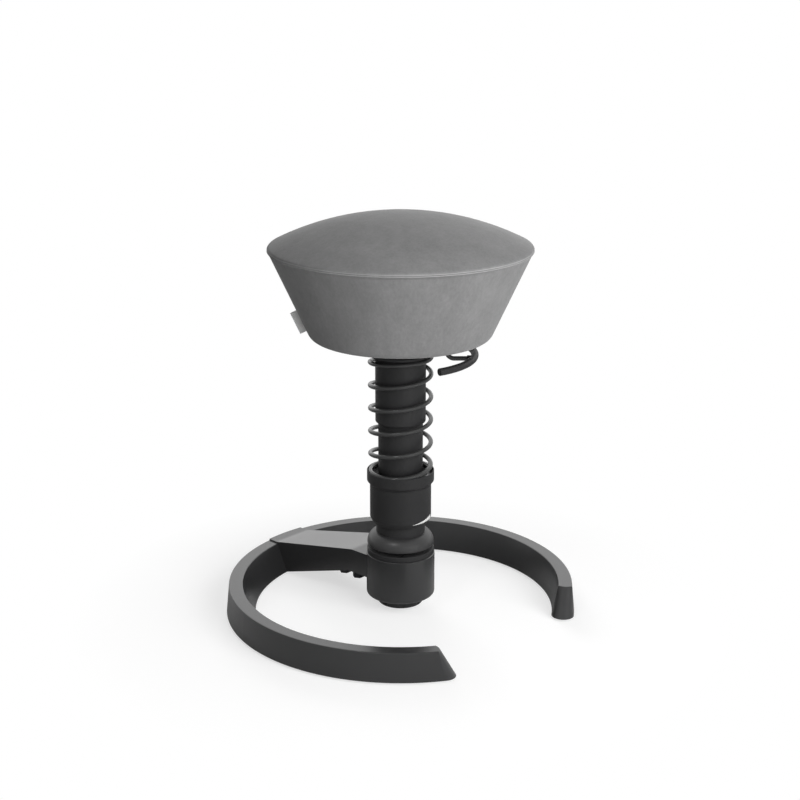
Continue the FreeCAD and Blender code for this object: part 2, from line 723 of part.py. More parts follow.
def piston_rod():
    """The rod, held at the foot of the stand tube, with the piston on top."""
    groove_r = ROD_R - 1.2
    shoulder = BEARING_Z1 + 0.1
    piston_r = CYLINDER_BORE - 0.08
    return turned([
        (0, 197.5), (groove_r, 197.5, 0.5), (groove_r, STAND_FLOOR_Z0 - 0.1), (ROD_R, STAND_FLOOR_Z0 - 0.1),
        (ROD_R, shoulder), (7.5, shoulder), (7.5, shoulder + 2.9), (ROD_R, shoulder + 2.9),
        (ROD_R, PISTON_Z0), (piston_r, PISTON_Z0), (piston_r, PISTON_Z1), (0, PISTON_Z1),
    ])


def rod_clip():
    """The spring clip in the groove below the stand tube's floor."""
    low = STAND_FLOOR_Z0 - 2.4
    ring = turned([(ROD_R - 1.15, low), (8.5, low), (8.5, low + 2), (ROD_R - 1.15, low + 2)])
    return ring.cut(Part.makeBox(6, 10, 4, Vec(-3, 0, low - 1)))


def bearing_cage():
    """The ball ring and upper race of the thrust bearing that the seat turns on."""
    low = STAND_FLOOR_Z1 + 2.1
    return turned([(ROD_R + 0.05, low), (13, low, 1.4), (13, BEARING_Z1, 1.0), (ROD_R + 0.05, BEARING_Z1)])


def gas_cylinder():
    """The pressure tube, with a tapered top that seats in the pan's socket."""
    return turned([
        (ROD_R + 0.08, CYLINDER_Z0), (CYLINDER_R, CYLINDER_Z0, 1), (CYLINDER_R, SOCKET_Z0 - 2),
        (CYLINDER_R - 0.7, CYLINDER_Z1), (4.1, CYLINDER_Z1), (4.1, CYLINDER_ROOF), (CYLINDER_BORE, CYLINDER_ROOF),
        (CYLINDER_BORE, CYLINDER_FLOOR), (ROD_R + 0.08, CYLINDER_FLOOR),
    ])


def release_button():
    return turned([(0, 565), (4.0, 565), (4.0, 578.7, 0.8), (0, 578.7)])


def lever_frame(shape):
    """Turns a shape drawn along +X to the lever's direction."""
    shape.rotate(Vec(0, 0, 0), Vec(0, 0, 1), LEVER_ANGLE)
    return shape


def pan_screw_spots():
    return [polar(74, LEVER_ANGLE + 45 + 90 * k) for k in range(4)]


def seat_pan():
    """The steel pan under the deck: a tapered socket, a shallow dish and a screw flange."""
    taper = 0.7 * (PAN_Z0 - SOCKET_Z0) / (CYLINDER_Z1 - SOCKET_Z0 + 2)
    pan = turned([
        (CYLINDER_R + 0.03, SOCKET_Z0), (SOCKET_R, SOCKET_Z0, 1), (SOCKET_R, PAN_Z0), (PAN_R, PAN_Z0, 2),
        (PAN_R, DECK_Z0 - PAN_WALL), (85, DECK_Z0 - PAN_WALL, 1), (85, DECK_Z0 - 0.05),
        (PAN_R - PAN_WALL, DECK_Z0 - 0.05), (PAN_R - PAN_WALL, PAN_Z0 + PAN_WALL),
        (CYLINDER_R + 0.03 - taper, PAN_Z0 + PAN_WALL),
    ])
    slot = Part.makeBox(32, 13, 30, Vec(PAN_R - 6, -6.5, PAN_Z0 + PAN_WALL))
    ears = []
    for side in (-1, 1):
        ear = Part.makeBox(12, 3, 13, Vec(LEVER_PIVOT_U - 6, side * 10.5 - 1.5, PAN_Z0 + PAN_WALL - 0.5))
        ears.append(lever_frame(ear))
    holes = [rod(2.8, DECK_Z0 - 5, DECK_Z0 + 1, spot) for spot in pan_screw_spots()]
    hinge = Part.makeCylinder(2.5, 30, Vec(LEVER_PIVOT_U, -15, LEVER_Z), Vec(0, 1, 0))
    return pan.cut(lever_frame(slot)).fuse(ears).cut(holes + [lever_frame(hinge)]).removeSplitter()


def pan_screws():
    seat = DECK_Z0 - PAN_WALL - 0.05
    return Part.makeCompound([screw(5.0, 3.2, 2.6, 8.0, seat, spot) for spot in pan_screw_spots()])


def lever_pin():
    return lever_frame(Part.makeCylinder(2.45, 26, Vec(LEVER_PIVOT_U, -13, LEVER_Z), Vec(0, 1, 0)))


def swept_rod(edges, radius):
    start = edges[0].Vertexes[0].Point
    direction = edges[0].tangentAt(edges[0].FirstParameter)
    shell = Part.BRepOffsetAPI.MakePipeShell(Part.Wire(edges))
    shell.add(Part.Wire(Part.makeCircle(radius, start, direction)))
    shell.build()
    shell.makeSolid()
    return Part.Solid(shell.shape())


def stem_run():
    """Where the stem starts below the seat, its direction and its length to the grip's middle line."""
    start = polar(LEVER_DROP_U, LEVER_ANGLE, GRIP_CENTRE.z)
    direction = polar(1, STEM_ANGLE)
    away = start - GRIP_CENTRE
    along = away.dot(direction)
    length = math.sqrt(along ** 2 - away.Length ** 2 + GRIP_ARC_R ** 2) - along
    return start, direction, length


def lever_rod():
    """The bent rod: a tongue over the button, a pivot block, a drop inside the seat, a stem out."""
    low, stem, length = stem_run()
    out = polar(1, LEVER_ANGLE)
    up = Vec(0, 0, 1)
    top = out * LEVER_DROP_U + up * LEVER_Z
    b = LEVER_BEND
    k = b * (1 - math.sqrt(0.5))
    edges = [
        line(out * LEVER_PIVOT_U + up * LEVER_Z, top - out * b),
        arc(top - out * b, top - out * k - up * k, top - up * b),
        line(top - up * b, low + up * b),
        arc(low + up * b, low + stem * k + up * k, low + stem * b),
        line(low + stem * b, low + stem * (length - GRIP_R + 0.4)),
    ]
    tongue = Part.makeBox(LEVER_PIVOT_U + 5, 12, 3.4, Vec(-5, -6, LEVER_Z - 2))
    block = Part.makeBox(9, 16, 9, Vec(LEVER_PIVOT_U - 4.5, -8, LEVER_Z - 4.5))
    block = block.makeFillet(2.5, [e for e in block.Edges if abs(e.tangentAt(0).y) > 0.9])
    hole = Part.makeCylinder(2.52, 20, Vec(LEVER_PIVOT_U, -10, LEVER_Z), Vec(0, 1, 0))
    inner_end = lever_frame(tongue.fuse(block))
    return swept_rod(edges, LEVER_ROD_R).fuse(inner_end).cut(lever_frame(hole)).removeSplitter()


def lever_grip():
    """The curved round grip with its flat-cut ends and the boss for the stem."""
    disc = Part.Face(Part.Wire(Part.makeCircle(
        GRIP_R, GRIP_CENTRE + polar(GRIP_ARC_R, GRIP_FROM), polar(1, GRIP_FROM + 90))))
    bar = disc.revolve(GRIP_CENTRE, Vec(0, 0, 1), GRIP_TO - GRIP_FROM)
    bar = bar.makeFillet(1.0, [e for e in bar.Edges if e.Length < 2 * math.pi * GRIP_R + 1])
    start, stem, length = stem_run()
    boss = Part.makeCylinder(LEVER_ROD_R + 1.3, 6, start + stem * (length - 10), stem)
    hollow = Part.makeCylinder(LEVER_ROD_R + 0.02, 14, start + stem * (length - GRIP_R - 13.58), stem)
    return bar.fuse(boss).cut(hollow).removeSplitter()


def shell_r(z):
    """Outer radius of the seat shell's cone."""
    return SHELL_LOW_R + (SHELL_TOP_R - SHELL_LOW_R) * (z - SHELL_LOW_Z) / (DECK_Z0 - SHELL_LOW_Z)


def seat_shell():
    """The moulded cone of the seat, with a lip inwards that the deck rests on."""
    wall = SHELL_WALL
    lip_z = DECK_Z0 - wall
    return turned([
        (SHELL_LOW_R - wall, SHELL_LOW_Z, 2), (SHELL_LOW_R, SHELL_LOW_Z, 2), (SHELL_TOP_R, DECK_Z0),
        (SHELL_LIP_R, DECK_Z0), (SHELL_LIP_R, lip_z), (shell_r(lip_z) - wall, lip_z, 3),
    ])


def seat_deck():
    """The round board on the shell's lip, with blind holes for the pan's screws."""
    board = turned([(0, DECK_Z0 + 0.05), (SHELL_TOP_R, DECK_Z0 + 0.05), (SHELL_TOP_R, DECK_Z1, 3), (0, DECK_Z1)])
    return board.cut([rod(2.65, DECK_Z0 - 1, DECK_Z1 - 0.7, spot) for spot in pan_screw_spots()])


def side_pad():
    """The padded skirt of the seat, drawn in to its rounded foot."""
    gap = 0.15
    return turned([
        (SHELL_LOW_R - SHELL_WALL + 0.5, SEAT_LOW_Z, 2), (SEAT_LOW_R, SEAT_LOW_Z, SEAT_LOW_ROUND),
        (SEAM_R, SEAM_Z - 0.1), (shell_r(SEAM_Z) + gap, SEAM_Z - 0.1),
        (SHELL_LOW_R + gap, SHELL_LOW_Z - gap), (SHELL_LOW_R - SHELL_WALL + 0.5, SHELL_LOW_Z - gap),
    ])


def top_cushion():
    """The crowned cushion, which rolls over the rim down to the seam."""
    gap = 0.15
    radius = (DOME_EDGE_R ** 2 + (DOME_TOP - DOME_EDGE_Z) ** 2) / (2 * (DOME_TOP - DOME_EDGE_Z))
    half_r = DOME_EDGE_R / 2
    half_z = DOME_TOP - radius + math.sqrt(radius ** 2 - half_r ** 2)
    inner = SHELL_TOP_R + gap
    return turned_path([
        line(at(0, DECK_Z1 + gap), at(inner, DECK_Z1 + gap)),
        line(at(inner, DECK_Z1 + gap), at(inner, SEAM_Z)),
        line(at(inner, SEAM_Z), at(SEAM_R, SEAM_Z)),
        arc(at(SEAM_R, SEAM_Z), at(RIM_R, RIM_Z), at(DOME_EDGE_R, DOME_EDGE_Z)),
        arc(at(DOME_EDGE_R, DOME_EDGE_Z), at(half_r, half_z), at(0, DOME_TOP)),
        line(at(0, DOME_TOP), at(0, DECK_Z1 + gap)),
    ])


def seat_tag():
    """The folded fabric label sewn into the side of the skirt, left blank."""
    slope = (SEAM_R - SEAT_LOW_R) / (SEAM_Z - SEAT_LOW_Z)
    lean = math.degrees(math.atan(slope))
    tag = Part.makeBox(TAG_REACH, 1.2, TAG_LENGTH, Vec(0.3, -0.6, -TAG_LENGTH / 2))
    tag.rotate(Vec(0, 0, 0), Vec(0, 1, 0), lean)
    tag.translate(Vec(SEAT_LOW_R + slope * (TAG_Z - SEAT_LOW_Z), 0, TAG_Z))
    tag.rotate(Vec(0, 0, 0), Vec(0, 0, 1), TAG_ANGLE)
    return tag


NODES = {
    "base_ring": base_ring,
    "hub_arm": hub_arm,
    "arm_screws": arm_screws,
    "rib_bolts": rib_bolts,
    "glides": glides,
    "race_retainer": race_retainer,
    "retainer_screws": retainer_screws,
    "pressure_cup": pressure_cup,
    "flex_knob": flex_knob,
    "flex_spindle": flex_spindle,
    "rubber_race": rubber_race,
    "joint_ball": joint_ball,
    "column_foot": column_foot,
    "stud_nut": stud_nut,
    "cuff": cuff,
    "guide_tube": guide_tube,
    "guide_bush": guide_bush,
    "bump_stop": bump_stop,
    "adjuster_cup": adjuster_cup,
    "spring_washer": spring_washer,
    "coil_spring": coil_spring,
    "cover_sleeve": cover_sleeve,
    "spring_flange": spring_flange,
    "stand_tube": stand_tube,
    "guide_ring": guide_ring,
    "rebound_stop": rebound_stop,
    "cylinder_bush": cylinder_bush,
    "bearing_race": bearing_race,
    "piston_rod": piston_rod,
    "rod_clip": rod_clip,
    "bearing_cage": bearing_cage,
    "gas_cylinder": gas_cylinder,
    "release_button": release_button,
    "seat_pan": seat_pan,
    "pan_screws": pan_screws,
    "lever_pin": lever_pin,
    "lever_rod": lever_rod,
    "lever_grip": lever_grip,
    "seat_shell": seat_shell,
    "seat_deck": seat_deck,
    "side_pad": side_pad,
    "top_cushion": top_cushion,
    "seat_tag": seat_tag,
}


def main():
    os.makedirs("parts", exist_ok=True)
    print("column axis at y =", round(COLUMN_Y, 3), "mm")
    for name, make in NODES.items():
        shape = make()
        shape.translate(Vec(0, COLUMN_Y, 0))
        solids = len(shape.Solids)
        print(name, solids, "solid(s)", round(shape.Volume / 1000, 1), "cm3", "valid", shape.isValid())
        shape.exportStep("parts/" + name + ".step")


main()
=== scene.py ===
# %% [markdown]
# # A wobble stool
# The stool has a C-shaped floor ring, one cast arm with a joint hub, a column with an open coil
# spring, and a hollow seat in grey microfibre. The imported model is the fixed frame: its pieces
# keep their places, and this lesson gives them their finishes. The soft pieces and the spring
# are modelled new, because cloth and a spring that shortens need a mesh of their own.

import math

import bpy
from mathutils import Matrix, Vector


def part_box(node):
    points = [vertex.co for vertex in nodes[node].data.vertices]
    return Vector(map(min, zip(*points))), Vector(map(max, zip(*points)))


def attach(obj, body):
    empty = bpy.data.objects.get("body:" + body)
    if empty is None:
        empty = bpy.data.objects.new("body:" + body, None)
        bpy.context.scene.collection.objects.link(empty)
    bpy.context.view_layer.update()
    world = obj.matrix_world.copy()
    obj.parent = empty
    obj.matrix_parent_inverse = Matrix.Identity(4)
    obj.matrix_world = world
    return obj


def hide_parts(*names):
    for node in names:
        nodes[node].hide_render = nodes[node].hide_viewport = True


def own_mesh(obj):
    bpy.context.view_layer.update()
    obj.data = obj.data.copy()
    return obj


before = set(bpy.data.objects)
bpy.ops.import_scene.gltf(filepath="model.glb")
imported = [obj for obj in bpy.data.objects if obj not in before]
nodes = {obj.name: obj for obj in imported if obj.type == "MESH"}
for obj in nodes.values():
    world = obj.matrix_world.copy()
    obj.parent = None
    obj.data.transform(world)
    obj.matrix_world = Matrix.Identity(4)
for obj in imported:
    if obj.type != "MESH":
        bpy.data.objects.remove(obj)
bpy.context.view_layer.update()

# %% [markdown]
# Everything on the column is round about one upright axis. The frame gives its place: the middle
# of the guide tube. Heights and radii of the seat and the spring come from the frame as well, so
# the new pieces sit exactly where the old ones were.

# %% Column axis and main sizes


def middle(node):
    low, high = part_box(node)
    return (low + high) / 2


def radius(node):
    low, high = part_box(node)
    return (high.x - low.x) / 2


AXIS = Vector((0.0, middle("guide_tube").y, 0.0))
seat_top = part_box("top_cushion")[1].z
seam_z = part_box("top_cushion")[0].z
rim_r = radius("top_cushion")
print("column axis", AXIS[:], "seat top", round(seat_top, 4), "rim radius", round(rim_r, 4))

# %% [markdown]
# ## The camera
# The photograph was taken from the side of the ring's gap, a little above the seat. A long lens
# keeps the upright lines almost parallel. The angles and the distance come from matching the
# ring, the rim and the spring, and the lens is given for a square picture.

# %% Camera
CAMERA_TURN = math.radians(-47.0)
CAMERA_TILT = math.radians(16.96)
CAMERA_AWAY = 2.3169
CAMERA_HEIGHT = 1.0526
LENS_MM = 70.44
AIM_OFF = math.radians(0.0212)

camera_data = bpy.data.cameras.new("camera")
camera_data.lens = LENS_MM
camera_data.sensor_width = 36.0
camera = bpy.data.objects.new("camera", camera_data)
camera.location = AXIS + Vector((
    CAMERA_AWAY * math.sin(CAMERA_TURN), -CAMERA_AWAY * math.cos(CAMERA_TURN), CAMERA_HEIGHT))
camera.rotation_euler = (math.pi / 2 - CAMERA_TILT, 0.0, CAMERA_TURN + AIM_OFF)
bpy.context.scene.collection.objects.link(camera)
bpy.context.scene.camera = camera
print("camera at", [round(c, 3) for c in camera.location])

# %% [markdown]
# ## Shader arithmetic
# A finish is a short piece of maths on the point's place. The class below wraps one socket, so a
# sum such as 1 - mask * 0.3 reads as it would on paper and adds its own Math nodes. One method
# makes every other kind of node.

# %% A socket that can do arithmetic


class Flow:
    """One value that runs through a material's nodes."""

    def __init__(self, tree, socket=None):
        self.tree = tree
        self.socket = socket

    def node(self, kind, settings=None, inputs=None, out=0):
        """Adds a node, sets it up, feeds its inputs and returns one of its outputs."""
        made = self.tree.nodes.new("ShaderNode" + kind)
        settings = dict(settings or {})
        stops = settings.pop("stops", None)
        for name, value in settings.items():
            setattr(made, name, value)
        if stops:
            ramp = made.color_ramp
            while len(ramp.elements) < len(stops):
                ramp.elements.new(0.5)
            for element, (place, level) in zip(ramp.elements, stops):
                element.position = place
                element.color = (level, level, level, 1.0)
        for name, value in (inputs or {}).items():
            if isinstance(value, Flow):
                self.tree.links.new(value.socket, made.inputs[name])
            else:
                made.inputs[name].default_value = value
        return Flow(self.tree, made.outputs[out])

    def math(self, operation, *others):
        values = {0: self}
        for i, other in enumerate(others):
            values[i + 1] = other
        return self.node("Math", {"operation": operation}, values)

    def __add__(self, other):
        return self.math("ADD", other)

    __radd__ = __add__

    def __mul__(self, other):
        return self.math("MULTIPLY", other)

    __rmul__ = __mul__

    def __sub__(self, other):
        return self.math("SUBTRACT", other)

    def __rsub__(self, other):
        return self.node("Math", {"operation": "SUBTRACT"}, {0: other, 1: self})

    def __truediv__(self, other):
        return self.math("DIVIDE", other)

    def __gt__(self, other):
        return self.math("GREATER_THAN", other)

    def __lt__(self, other):
        return self.math("LESS_THAN", other)

    def clamp(self):
        return self.node("Clamp", None, {"Value": self})

    def ramp(self, *stops):
        return self.node("ValToRGB", {"stops": stops}, {"Fac": self})

    def tint(self, low, high):
        """A colour between low and high, mixed by this value. Either may be a flow itself."""
        first, last = (c if isinstance(c, Flow) else (*c, 1.0) for c in (low, high))
        return self.node("Mix", {"data_type": "RGBA"}, {"Factor": self, 6: first, 7: last}, 2)


# %% [markdown]
# ## A material and its patterns
# Each material starts from one Principled shader. What is the same all over is a plain number on
# the shader, and only colour, roughness and bump vary. Patterns read the object's own place in
# metres, so a noise scale of 900 gives grains of about a millimetre.

# %% Start a material


class Finish:
    """A material in the making: its shader, its place in space, and noise that reads it."""

    def __init__(self, name, **constants):
        self.material = bpy.data.materials.new(name)
        self.material.use_nodes = True
        self.tree = self.material.node_tree
        self.shader = self.tree.nodes["Principled BSDF"]
        for key, value in constants.items():
            self.shader.inputs[key.replace("_", " ")].default_value = value
        self.place = Flow(self.tree).node("TexCoord", out="Object")

    def about_axis(self):
        """The place with the column axis moved to the middle."""
        return self.place.node("Mapping", None, {
            "Vector": self.place, "Location": (-AXIS.x, -AXIS.y, 0.0)})

    def noise(self, scale, detail=2.0, stretch=(1.0, 1.0, 1.0), roughness=0.5):
        spot = self.place.node("Mapping", None, {"Vector": self.place, "Scale": stretch})
        return spot.node("TexNoise", None, {
            "Vector": spot, "Scale": scale, "Detail": detail, "Roughness": roughness})

    def colour(self, flow):
        self.tree.links.new(flow.socket, self.shader.inputs["Base Color"])

    def rough(self, flow):
        self.tree.links.new(flow.socket, self.shader.inputs["Roughness"])

    def bump(self, height, distance, strength=1.0):
        """Bumps of a height flow between 0 and 1, and distance metres deep."""
        bumped = height.node("Bump", None, {
            "Height": height, "Distance": distance, "Strength": strength})
        self.tree.links.new(bumped.socket, self.shader.inputs["Normal"])


def paint(material, *names):
    """Gives a finish to nodes of the frame."""
    for name in names:
        mesh = nodes[name].data
        mesh.materials.clear()
        mesh.materials.append(material)
    print(material.name, "on", ", ".join(names))


# %% [markdown]
# ## Powder coat on the castings
# The ring and the arm are cast metal with a fine black powder coat. Close up it is like very
# small orange peel, and from a step away only the broad satin shine shows, so the bump is tiny
# and the roughness drifts a little over the length of the ring. A clear film on top lets the flat
# tops shine light at a low angle while the upright sides stay dark.

# %% Cast ring and arm
cast = Finish("powder_coat_cast", Coat_Weight=0.85, Coat_Roughness=0.22)
grain = cast.noise(1500.0, 3.0)
drift = cast.noise(9.0, 3.0)
speck = cast.noise(4200.0, 1.0)
cast.colour((drift * 0.6 + speck * 0.4).tint((0.017, 0.0172, 0.0176), (0.029, 0.0292, 0.03)))
cast.rough(0.27 + drift * 0.08 + grain * 0.05)
cast.bump(grain * 0.75 + speck * 0.25, 0.00012, 0.6)
paint(cast.material, "base_ring", "hub_arm")

# %% [markdown]
# ## Moulded black plastic
# The retaining ring, the foot, the turning cup, the bushes, the knob and the grip are moulded
# with a spark-eroded skin: small round pits, all alike, on a dull sheen.

# %% Moulded parts


def moulded(name, low, high, rough):
    finish = Finish(name, Specular_IOR_Level=0.35)
    pits = finish.noise(2600.0, 1.0)
    cloud = finish.noise(14.0, 3.0)
    finish.colour(cloud.tint(low, high))
    finish.rough(rough + cloud * 0.06 - pits * 0.05)
    finish.bump(pits.ramp((0.42, 0.0), (0.62, 1.0)), 0.00005, 0.5)
    return finish


black_plastic = moulded("moulded_black", (0.016, 0.016, 0.0165), (0.025, 0.025, 0.0255), 0.45)
paint(black_plastic.material, "race_retainer", "column_foot", "guide_bush", "spring_flange",
      "guide_ring", "rebound_stop", "cylinder_bush", "flex_knob", "lever_grip")
shell_black = moulded("moulded_shell", (0.022, 0.022, 0.0225), (0.034, 0.034, 0.0345), 0.55)
paint(shell_black.material, "seat_shell", "seat_deck")

# %% [markdown]
# ## The turning cup and its mark
# The cup under the spring turns by hand to make the seat softer or firmer. A small white wedge
# is printed low on its side, thin at one end and thick at the other. It is drawn by the angle
# round the column and the height, so it needs no mesh of its own.

# %% Cup with a printed wedge
MARK_LEFT = math.radians(-113.0)
MARK_RIGHT = math.radians(-61.0)
MARK_FOOT = 0.1545
MARK_RISE = 0.0074
MARK_THIN = 0.0006
MARK_TONE = (0.66, 0.66, 0.65)

cup = moulded("moulded_cup", (0.0165, 0.0165, 0.017), (0.0235, 0.0235, 0.024), 0.45)
about = cup.about_axis()
east, north, height = (about.node("SeparateXYZ", None, {0: about}, axis) for axis in "XYZ")
share = (north.math("ARCTAN2", east) - MARK_LEFT) / (MARK_RIGHT - MARK_LEFT)
above = height - MARK_FOOT
under_edge = (above - share * MARK_RISE) < MARK_THIN
inside = (share > 0.0) * (share < 1.0) * (above > 0.0) * under_edge
skin = Flow(cup.tree, cup.shader.inputs["Base Color"].links[0].from_socket)
cup.colour(inside.tint(skin, MARK_TONE))
paint(cup.material, "adjuster_cup")

# %% [markdown]
# ## Rubber
# The cuff and the race are dull black rubber. It has no grain, only a soft cloudy bloom that
# changes how it shines.

# %% Rubber parts
rubber = Finish("black_rubber", Specular_IOR_Level=0.7)
bloom = rubber.noise(22.0, 4.0)
rubber.colour(bloom.tint((0.024, 0.024, 0.0245), (0.036, 0.036, 0.0365)))
rubber.rough(0.3 + bloom * 0.12)
rubber.bump(rubber.noise(700.0, 2.0), 0.00004, 0.5)
paint(rubber.material, "cuff", "rubber_race", "bump_stop")

# %% [markdown]
# ## Coated tubes and the wire
# The guide tube, the sleeve and the gas cylinder have a smoother black coat than the castings.
# The spring and the lever rod are drawn wire under the same coat with a glossier film, so they
# share one recipe with other numbers.

# %% Coated tubes and wire


def coated(name, low, high, rough, grain_depth):
    finish = Finish(name, Specular_IOR_Level=0.4)
    fine = finish.noise(1900.0, 2.0)
    cloud = finish.noise(16.0, 3.0)
    finish.colour(cloud.tint(low, high))
    finish.rough(rough + cloud * 0.07)
    finish.bump(fine, grain_depth, 0.5)
    return finish


tube_black = coated("coat_tube", (0.015, 0.015, 0.0155), (0.022, 0.022, 0.0225), 0.42, 0.00005)
paint(tube_black.material, "guide_tube", "cover_sleeve", "gas_cylinder")
wire_black = coated("coat_wire", (0.024, 0.0245, 0.0245), (0.036, 0.0365, 0.0365), 0.3, 0.00004)
wire_black.shader.inputs["Coat Weight"].default_value = 0.8
wire_black.shader.inputs["Coat Roughness"].default_value = 0.18
paint(wire_black.material, "lever_rod")

# %% [markdown]
# ## Steel, blackened and bright
# Screws and the pan are blackened. The pins, the ball, the rod and the inner tube are turned
# steel: their fine rings lie across the axis, which a noise squeezed along the height gives.

# %% Steel parts
dark_steel = coated("blackened_steel", (0.03, 0.03, 0.032), (0.05, 0.05, 0.052), 0.38, 0.00003)
dark_steel.shader.inputs["Metallic"].default_value = 0.7
paint(dark_steel.material, "rib_bolts", "arm_screws", "retainer_screws", "seat_pan")

bright = Finish("turned_steel", Metallic=1.0)
rings = bright.noise(300.0, 2.0, (0.3, 0.3, 12.0))
bright.colour(rings.tint((0.46, 0.46, 0.47), (0.6, 0.6, 0.61)))
bright.rough(0.24 + rings * 0.14)
bright.bump(rings, 0.00002, 0.4)
paint(bright.material, "pressure_cup", "flex_spindle", "joint_ball", "stud_nut", "spring_washer",
      "stand_tube", "bearing_race", "piston_rod", "rod_clip", "bearing_cage", "release_button",
      "pan_screws", "lever_pin")

# %% [markdown]
# ## Glides
# The small feet under the ring are milky nylon. They let a little light in, so the shader gets
# some subsurface, and wear has clouded them.

# %% Nylon glides
nylon = Finish("milky_nylon", Subsurface_Weight=0.25, Subsurface_Scale=0.004)
milk = nylon.noise(120.0, 3.0)
nylon.colour(milk.tint((0.2, 0.2, 0.197), (0.32, 0.32, 0.315)))
nylon.rough(0.3 + milk * 0.15)
nylon.bump(nylon.noise(900.0, 2.0), 0.00004, 0.4)
paint(nylon.material, "glides")

# %% [markdown]
# ## Microfibre
# The cover is a grey microfibre with a short brushed pile. Light catches the pile where it leans
# another way, which makes soft lighter and darker patches, streaked a little up and down. The
# patches are wide, the fibre is under a millimetre, and a low sheen lifts the turned-away edges.
# On the two ridges of the seam a narrow band above and below it is painted lighter: a painted
# highlight for the light that the ridges catch.

# %% Fabric
# The four numbers below place and tint the painted highlight on the seam ridges.
RIDGE_OFF = 0.0012
RIDGE_WIDE = 0.0009
RIDGE_HIGHLIGHT_SHARE = 0.55
RIDGE_HIGHLIGHT_TONE = (0.42, 0.42, 0.42)


def microfibre(name):
    finish = Finish(name, Sheen_Weight=0.25, Sheen_Roughness=0.5, Specular_IOR_Level=0.2)
    patch = finish.noise(11.0, 4.0, (1.0, 1.0, 0.55), 0.6)
    brushed = finish.noise(55.0, 3.0, (1.0, 1.0, 0.35))
    fibre = finish.noise(850.0, 3.0, (1.0, 1.0, 0.6), 0.7)
    mottle = finish.noise(230.0, 3.0, (1.0, 1.0, 0.5), 0.6)
    tone = patch * 0.34 + brushed * 0.2 + mottle * 0.26 + fibre * 0.2
    cloth = tone.ramp((0.36, 0.0), (0.64, 1.0)).tint((0.152, 0.152, 0.153), (0.232, 0.232, 0.232))
    height = finish.place.node("SeparateXYZ", None, {0: finish.place}, "Z")
    # Painted highlight: a thin band on each ridge of the seam is made lighter in the colour.
    off_ridge = ((height - seam_z).math("ABSOLUTE") - RIDGE_OFF).math("ABSOLUTE")
    seam_ridge_highlight = (1.0 - off_ridge / RIDGE_WIDE).clamp() * RIDGE_HIGHLIGHT_SHARE
    finish.colour(seam_ridge_highlight.tint(cloth, RIDGE_HIGHLIGHT_TONE))
    finish.rough(0.86 + fibre * 0.1)
    finish.bump(fibre * 0.7 + brushed * 0.3, 0.00035, 0.45)
    return finish


fabric = microfibre("grey_microfibre")
print("fabric ready")

# %% [markdown]
# ## Turning a profile
# The cushion and the skirt are round, so each is drawn as a half section and spun about the
# column. The section is one vertex that is extruded from point to point, as on a lathe drawing.
# Spinning can turn a shape inside out, so doubles are merged first and the normals worked out
# again.

# %% Helpers for edit mode
MERGE_WITHIN = 0.00002


def only(piece):
    """Leaves nothing but this piece selected and active."""
    bpy.ops.object.select_all(action="DESELECT")
    piece.select_set(True)
    bpy.context.view_layer.objects.active = piece


def arc_points(first, through, last, count):
    """Points on the circle through three (radius, height) points, both ends included."""
    a, b, c = (Vector(p) for p in (first, through, last))
    twice = 2 * (a.x * (b.y - c.y) + b.x * (c.y - a.y) + c.x * (a.y - b.y))
    aa, bb, cc = a.length_squared, b.length_squared, c.length_squared
    centre = Vector((
        (aa * (b.y - c.y) + bb * (c.y - a.y) + cc * (a.y - b.y)) / twice,
        (aa * (c.x - b.x) + bb * (a.x - c.x) + cc * (b.x - a.x)) / twice))
    start = (a - centre).angle_signed(Vector((1, 0)))
    sweep = (c - centre).angle_signed(a - centre)
    side = (b - centre).angle_signed(a - centre)
    if sweep * side < 0:
        sweep -= math.copysign(2 * math.pi, sweep)
    size = (a - centre).length
    turns = [start + sweep * k / count for k in range(count + 1)]
    return [centre + Vector((math.cos(turn), math.sin(turn))) * size for turn in turns]


def straight(first, last, step):
    """Evenly spaced points from first to last, without the first."""
    a, b = Vector(first), Vector(last)
    count = max(1, round((b - a).length / step))
    return [a.lerp(b, (k + 1) / count) for k in range(count)]


def spun(name, profile, steps):
    """A closed round piece from a half section of (radius, height) points."""
    bpy.ops.object.select_all(action="DESELECT")
    bpy.ops.mesh.primitive_plane_add(size=0.01, location=(0, 0, 0))
    piece = bpy.context.object
    piece.name = piece.data.name = name
    bpy.ops.object.mode_set(mode="EDIT")
    bpy.ops.mesh.merge(type="CENTER")
    spot = Vector((0.0, 0.0, 0.0))
    for k, (r, z) in enumerate(profile):
        target = Vector((AXIS.x + r, AXIS.y, z))
        if k == 0:
            bpy.ops.transform.translate(value=target - spot)
        else:
            bpy.ops.mesh.extrude_region_move(TRANSFORM_OT_translate={"value": target - spot})
        spot = target
    bpy.ops.mesh.select_all(action="SELECT")
    bpy.ops.mesh.spin(steps=steps, angle=2 * math.pi, center=AXIS, axis=(0, 0, 1))
    bpy.ops.mesh.select_all(action="SELECT")
    bpy.ops.mesh.remove_doubles(threshold=MERGE_WITHIN)
    bpy.ops.mesh.normals_make_consistent(inside=False)
    bpy.ops.object.mode_set(mode="OBJECT")
    bpy.ops.object.shade_smooth()
    print(name, len(piece.data.vertices), "vertices")
    return piece


# %% [markdown]
# ## Letting the foam push
# A cover is cut to the foam and pulled tight, so its crown is already in the drawn section. Cloth
# physics with a low pressure and no gravity is let loose on top of that. The seam rings are
# pinned, and no point may move further than a few millimetres. This stiff cover hardly gives: the
# two cells below print moves of a fifth of a millimetre and less.

# %% Cloth on a padded piece
PRESSURE = 4.0
CLOTH_FRAMES = 20
CLOTH_MASS = 0.05
CLOTH_STIFFNESS = 40.0


